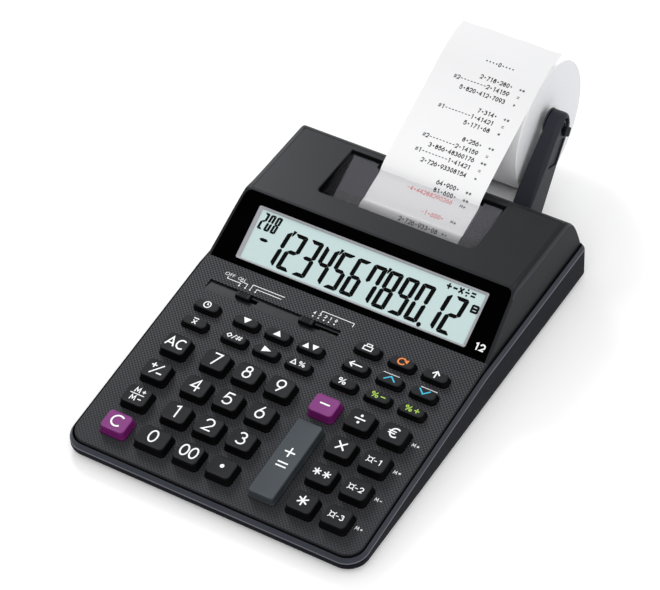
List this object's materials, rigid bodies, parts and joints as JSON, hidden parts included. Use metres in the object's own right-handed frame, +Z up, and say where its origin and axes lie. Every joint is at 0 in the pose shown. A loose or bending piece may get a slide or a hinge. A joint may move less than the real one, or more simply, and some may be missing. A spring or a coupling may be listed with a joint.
{
  "type": "printing desk calculator",
  "caption": "Printing desk calculator with a tilted keyboard, sloped display, slide switches and a paper roll on two rear arms feeding a strip over a toothed cutter.",
  "frame": {"origin": "middle of the bounding box in plan, on the surface that the feet stand on", "axes": "+X to the user's right, +Y from the keyboard's front edge back to the paper roll, +Z up"},
  "size_m": [0.1656, 0.3142, 0.0813],
  "materials": {
    "case_navy": "fine satin texture",
    "deck_charcoal": "matt, finely textured",
    "key_dark": "matt top over a black skirt",
    "key_purple": "matt",
    "key_grey": "matt",
    "window_black": "polished",
    "lcd": "satin reflective liquid-crystal panel",
    "smoked_plastic": "translucent, polished",
    "paper": "uncoated",
    "circuit_board": "solder mask",
    "mat_rubber": "translucent silicone",
    "platen_rubber": "matt",
    "steel": "zinc plated"
  },
  "bodies": {
    "body": {"bottom_case": "case_navy", "top_case": "deck_charcoal", "display_window": "window_black", "lcd_panel": "lcd", "printer_cover": "deck_charcoal", "paper_cutter": "smoked_plastic", "left_arm": "case_navy", "right_arm": "case_navy", "paper_tape": "paper", "main_board": "circuit_board", "key_mat": "mat_rubber", "printer_mechanism": "steel"},
    "key_all_clear": {"key_all_clear": "key_dark"},
    "key_sign": {"key_sign": "key_dark"},
    "key_markup": {"key_markup": "key_dark"},
    "key_clear": {"key_clear": "key_purple"},
    "key_7": {"key_7": "key_dark"},
    "key_4": {"key_4": "key_dark"},
    "key_1": {"key_1": "key_dark"},
    "key_8": {"key_8": "key_dark"},
    "key_5": {"key_5": "key_dark"},
    "key_2": {"key_2": "key_dark"},
    "key_00": {"key_00": "key_dark"},
    "key_9": {"key_9": "key_dark"},
    "key_6": {"key_6": "key_dark"},
    "key_3": {"key_3": "key_dark"},
    "key_point": {"key_point": "key_dark"},
    "key_minus": {"key_minus": "key_purple"},
    "key_divide": {"key_divide": "key_dark"},
    "key_multiply": {"key_multiply": "key_dark"},
    "key_grand_total": {"key_grand_total": "key_dark"},
    "key_total": {"key_total": "key_dark"},
    "key_convert": {"key_convert": "key_dark"},
    "key_rate_1": {"key_rate_1": "key_dark"},
    "key_rate_2": {"key_rate_2": "key_dark"},
    "key_rate_3": {"key_rate_3": "key_dark"},
    "key_0": {"key_0": "key_dark"},
    "key_plus_equals": {"key_plus_equals": "key_grey"},
    "key_clock": {"key_clock": "key_dark"},
    "key_average": {"key_average": "key_dark"},
    "key_cost": {"key_cost": "key_dark"},
    "key_number": {"key_number": "key_dark"},
    "key_sell": {"key_sell": "key_dark"},
    "key_shift": {"key_shift": "key_dark"},
    "key_margin": {"key_margin": "key_dark"},
    "key_change_percent": {"key_change_percent": "key_dark"},
    "key_print": {"key_print": "key_dark"},
    "key_correct": {"key_correct": "key_dark"},
    "key_percent": {"key_percent": "key_dark"},
    "key_reprint": {"key_reprint": "key_dark"},
    "key_up": {"key_up": "key_dark"},
    "key_tax_minus": {"key_tax_minus": "key_dark"},
    "key_feed": {"key_feed": "key_dark"},
    "key_down": {"key_down": "key_dark"},
    "key_tax_plus": {"key_tax_plus": "key_dark"},
    "power_knob": {"power_switch_knob": "deck_charcoal"},
    "decimal_knob": {"decimal_switch_knob": "deck_charcoal"},
    "door": {"battery_door": "case_navy"},
    "roll": {"paper_roll": "paper"},
    "platen": {"platen_roller": "platen_rubber"}
  },
  "joints": [
    {"name": "key_all_clear_press", "type": "slide", "parent": "body", "child": "key_all_clear", "axis": [0, 0.1078, -0.9942], "range_m": [0, 0.0025], "stiffness_N_per_m": 200, "springref_m": -0.0015},
    {"name": "key_sign_press", "type": "slide", "parent": "body", "child": "key_sign", "axis": [0, 0.1078, -0.9942], "range_m": [0, 0.0025], "stiffness_N_per_m": 200, "springref_m": -0.0015},
    {"name": "key_markup_press", "type": "slide", "parent": "body", "child": "key_markup", "axis": [0, 0.1078, -0.9942], "range_m": [0, 0.0025], "stiffness_N_per_m": 200, "springref_m": -0.0015},
    {"name": "key_clear_press", "type": "slide", "parent": "body", "child": "key_clear", "axis": [0, 0.1078, -0.9942], "range_m": [0, 0.0025], "stiffness_N_per_m": 200, "springref_m": -0.0015},
    {"name": "key_7_press", "type": "slide", "parent": "body", "child": "key_7", "axis": [0, 0.1078, -0.9942], "range_m": [0, 0.0025], "stiffness_N_per_m": 200, "springref_m": -0.0015},
    {"name": "key_4_press", "type": "slide", "parent": "body", "child": "key_4", "axis": [0, 0.1078, -0.9942], "range_m": [0, 0.0025], "stiffness_N_per_m": 200, "springref_m": -0.0015},
    {"name": "key_1_press", "type": "slide", "parent": "body", "child": "key_1", "axis": [0, 0.1078, -0.9942], "range_m": [0, 0.0025], "stiffness_N_per_m": 200, "springref_m": -0.0015},
    {"name": "key_8_press", "type": "slide", "parent": "body", "child": "key_8", "axis": [0, 0.1078, -0.9942], "range_m": [0, 0.0025], "stiffness_N_per_m": 200, "springref_m": -0.0015},
    {"name": "key_5_press", "type": "slide", "parent": "body", "child": "key_5", "axis": [0, 0.1078, -0.9942], "range_m": [0, 0.0025], "stiffness_N_per_m": 200, "springref_m": -0.0015},
    {"name": "key_2_press", "type": "slide", "parent": "body", "child": "key_2", "axis": [0, 0.1078, -0.9942], "range_m": [0, 0.0025], "stiffness_N_per_m": 200, "springref_m": -0.0015},
    {"name": "key_00_press", "type": "slide", "parent": "body", "child": "key_00", "axis": [0, 0.1078, -0.9942], "range_m": [0, 0.0025], "stiffness_N_per_m": 200, "springref_m": -0.0015},
    {"name": "key_9_press", "type": "slide", "parent": "body", "child": "key_9", "axis": [0, 0.1078, -0.9942], "range_m": [0, 0.0025], "stiffness_N_per_m": 200, "springref_m": -0.0015},
    {"name": "key_6_press", "type": "slide", "parent": "body", "child": "key_6", "axis": [0, 0.1078, -0.9942], "range_m": [0, 0.0025], "stiffness_N_per_m": 200, "springref_m": -0.0015},
    {"name": "key_3_press", "type": "slide", "parent": "body", "child": "key_3", "axis": [0, 0.1078, -0.9942], "range_m": [0, 0.0025], "stiffness_N_per_m": 200, "springref_m": -0.0015},
    {"name": "key_point_press", "type": "slide", "parent": "body", "child": "key_point", "axis": [0, 0.1078, -0.9942], "range_m": [0, 0.0025], "stiffness_N_per_m": 200, "springref_m": -0.0015},
    {"name": "key_minus_press", "type": "slide", "parent": "body", "child": "key_minus", "axis": [0, 0.1078, -0.9942], "range_m": [0, 0.0025], "stiffness_N_per_m": 200, "springref_m": -0.0015},
    {"name": "key_divide_press", "type": "slide", "parent": "body", "child": "key_divide", "axis": [0, 0.1078, -0.9942], "range_m": [0, 0.0025], "stiffness_N_per_m": 200, "springref_m": -0.0015},
    {"name": "key_multiply_press", "type": "slide", "parent": "body", "child": "key_multiply", "axis": [0, 0.1078, -0.9942], "range_m": [0, 0.0025], "stiffness_N_per_m": 200, "springref_m": -0.0015},
    {"name": "key_grand_total_press", "type": "slide", "parent": "body", "child": "key_grand_total", "axis": [0, 0.1078, -0.9942], "range_m": [0, 0.0025], "stiffness_N_per_m": 200, "springref_m": -0.0015},
    {"name": "key_total_press", "type": "slide", "parent": "body", "child": "key_total", "axis": [0, 0.1078, -0.9942], "range_m": [0, 0.0025], "stiffness_N_per_m": 200, "springref_m": -0.0015},
    {"name": "key_convert_press", "type": "slide", "parent": "body", "child": "key_convert", "axis": [0, 0.1078, -0.9942], "range_m": [0, 0.0025], "stiffness_N_per_m": 200, "springref_m": -0.0015},
    {"name": "key_rate_1_press", "type": "slide", "parent": "body", "child": "key_rate_1", "axis": [0, 0.1078, -0.9942], "range_m": [0, 0.0025], "stiffness_N_per_m": 200, "springref_m": -0.0015},
    {"name": "key_rate_2_press", "type": "slide", "parent": "body", "child": "key_rate_2", "axis": [0, 0.1078, -0.9942], "range_m": [0, 0.0025], "stiffness_N_per_m": 200, "springref_m": -0.0015},
    {"name": "key_rate_3_press", "type": "slide", "parent": "body", "child": "key_rate_3", "axis": [0, 0.1078, -0.9942], "range_m": [0, 0.0025], "stiffness_N_per_m": 200, "springref_m": -0.0015},
    {"name": "key_0_press", "type": "slide", "parent": "body", "child": "key_0", "axis": [0, 0.1078, -0.9942], "range_m": [0, 0.0025], "stiffness_N_per_m": 200, "springref_m": -0.0015},
    {"name": "key_plus_equals_press", "type": "slide", "parent": "body", "child": "key_plus_equals", "axis": [0, 0.1078, -0.9942], "range_m": [0, 0.0025], "stiffness_N_per_m": 260, "springref_m": -0.0015},
    {"name": "key_clock_press", "type": "slide", "parent": "body", "child": "key_clock", "axis": [0, 0.1078, -0.9942], "range_m": [0, 0.002], "stiffness_N_per_m": 200, "springref_m": -0.0015},
    {"name": "key_average_press", "type": "slide", "parent": "body", "child": "key_average", "axis": [0, 0.1078, -0.9942], "range_m": [0, 0.002], "stiffness_N_per_m": 200, "springref_m": -0.0015},
    {"name": "key_cost_press", "type": "slide", "parent": "body", "child": "key_cost", "axis": [0, 0.1078, -0.9942], "range_m": [0, 0.002], "stiffness_N_per_m": 200, "springref_m": -0.0015},
    {"name": "key_number_press", "type": "slide", "parent": "body", "child": "key_number", "axis": [0, 0.1078, -0.9942], "range_m": [0, 0.002], "stiffness_N_per_m": 200, "springref_m": -0.0015},
    {"name": "key_sell_press", "type": "slide", "parent": "body", "child": "key_sell", "axis": [0, 0.1078, -0.9942], "range_m": [0, 0.002], "stiffness_N_per_m": 200, "springref_m": -0.0015},
    {"name": "key_shift_press", "type": "slide", "parent": "body", "child": "key_shift", "axis": [0, 0.1078, -0.9942], "range_m": [0, 0.002], "stiffness_N_per_m": 200, "springref_m": -0.0015},
    {"name": "key_margin_press", "type": "slide", "parent": "body", "child": "key_margin", "axis": [0, 0.1078, -0.9942], "range_m": [0, 0.002], "stiffness_N_per_m": 200, "springref_m": -0.0015},
    {"name": "key_change_percent_press", "type": "slide", "parent": "body", "child": "key_change_percent", "axis": [0, 0.1078, -0.9942], "range_m": [0, 0.002], "stiffness_N_per_m": 200, "springref_m": -0.0015},
    {"name": "key_print_press", "type": "slide", "parent": "body", "child": "key_print", "axis": [0, 0.1078, -0.9942], "range_m": [0, 0.002], "stiffness_N_per_m": 200, "springref_m": -0.0015},
    {"name": "key_correct_press", "type": "slide", "parent": "body", "child": "key_correct", "axis": [0, 0.1078, -0.9942], "range_m": [0, 0.002], "stiffness_N_per_m": 200, "springref_m": -0.0015},
    {"name": "key_percent_press", "type": "slide", "parent": "body", "child": "key_percent", "axis": [0, 0.1078, -0.9942], "range_m": [0, 0.002], "stiffness_N_per_m": 200, "springref_m": -0.0015},
    {"name": "key_reprint_press", "type": "slide", "parent": "body", "child": "key_reprint", "axis": [0, 0.1078, -0.9942], "range_m": [0, 0.002], "stiffness_N_per_m": 200, "springref_m": -0.0015},
    {"name": "key_up_press", "type": "slide", "parent": "body", "child": "key_up", "axis": [0, 0.1078, -0.9942], "range_m": [0, 0.002], "stiffness_N_per_m": 200, "springref_m": -0.0015},
    {"name": "key_tax_minus_press", "type": "slide", "parent": "body", "child": "key_tax_minus", "axis": [0, 0.1078, -0.9942], "range_m": [0, 0.002], "stiffness_N_per_m": 200, "springref_m": -0.0015},
    {"name": "key_feed_press", "type": "slide", "parent": "body", "child": "key_feed", "axis": [0, 0.1078, -0.9942], "range_m": [0, 0.002], "stiffness_N_per_m": 200, "springref_m": -0.0015},
    {"name": "key_down_press", "type": "slide", "parent": "body", "child": "key_down", "axis": [0, 0.1078, -0.9942], "range_m": [0, 0.002], "stiffness_N_per_m": 200, "springref_m": -0.0015},
    {"name": "key_tax_plus_press", "type": "slide", "parent": "body", "child": "key_tax_plus", "axis": [0, 0.1078, -0.9942], "range_m": [0, 0.002], "stiffness_N_per_m": 200, "springref_m": -0.0015},
    {"name": "power_switch_slide", "type": "slide", "parent": "body", "child": "power_knob", "axis": [1, 0, 0], "range_m": [-0.0063, 0.0032]},
    {"name": "decimal_switch_slide", "type": "slide", "parent": "body", "child": "decimal_knob", "axis": [1, 0, 0], "range_m": [0, 0.0123]},
    {"name": "battery_door_slide", "type": "slide", "parent": "body", "child": "door", "axis": [0, 1, 0], "range_m": [0, 0.06]},
    {"name": "roll_spin", "type": "hinge", "parent": "body", "child": "roll", "pos_m": [0.00545, 0.1215, 0.0412], "axis": [1, 0, 0], "continuous": true},
    {"name": "platen_spin", "type": "hinge", "parent": "body", "child": "platen", "pos_m": [0.0045, 0.0319, 0.0306], "axis": [1, 0, 0], "continuous": true}
  ],
  "couplings": [
    {"joint": "platen_spin", "follows": "roll_spin", "ratio": 5.742}
  ]
}
